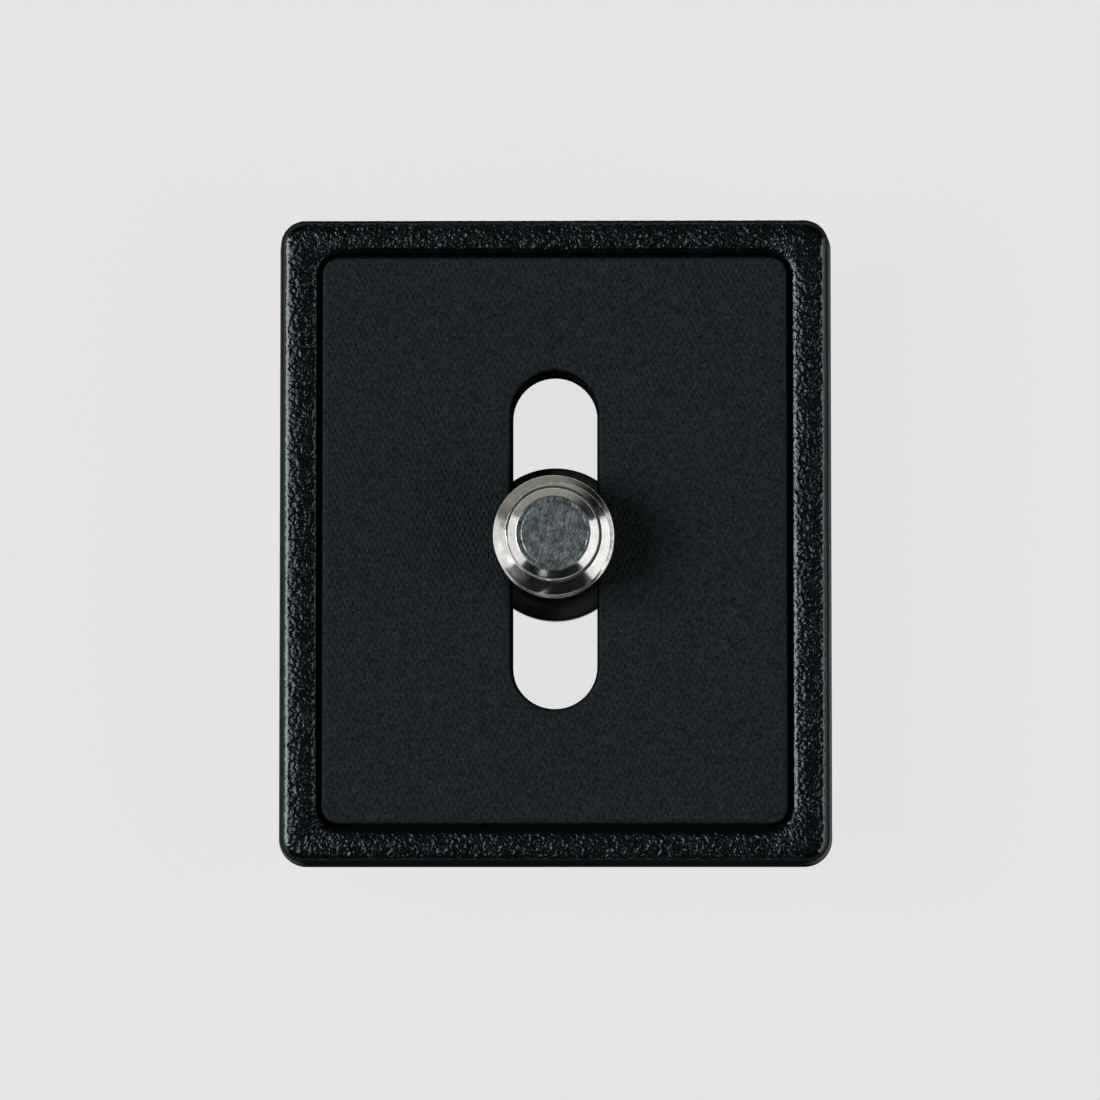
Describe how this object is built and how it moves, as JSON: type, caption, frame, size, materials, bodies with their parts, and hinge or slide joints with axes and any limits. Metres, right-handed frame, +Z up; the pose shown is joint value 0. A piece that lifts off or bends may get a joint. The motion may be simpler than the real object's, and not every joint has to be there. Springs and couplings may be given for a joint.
{
  "type": "tripod quick release plate",
  "caption": "Small rectangular quick release plate with a rubber grip pad, a dovetail foot and a captive camera screw that slides along a central slot and turns in it.",
  "frame": {"origin": "centre of the foot's base, on the surface that the plate rests on", "axes": "+X across the slot, +Y along the slot, +Z up through the camera screw"},
  "size_m": [0.0294, 0.0344, 0.0139],
  "materials": {
    "body_plastic": "black moulded plastic with a coarse spark-eroded grain",
    "pad_rubber": "matt black rubber with a fine diagonal hatch",
    "washer_nylon": "plain black nylon",
    "bright_nickel": "bright nickel plate on turned steel"
  },
  "bodies": {
    "plate": {"plate_body": "body_plastic", "grip_pad": "pad_rubber"},
    "washer": {"friction_washer": "washer_nylon"},
    "screw": {"camera_screw": "bright_nickel"}
  },
  "joints": [
    {"name": "screw_slide", "type": "slide", "parent": "plate", "child": "washer", "axis": [0, 1, 0], "range_m": [-0.0067, 0.0067]},
    {"name": "screw_turn", "type": "hinge", "parent": "washer", "child": "screw", "pos_m": [0, 0, 0.004], "axis": [0, 0, 1], "continuous": true}
  ]
}
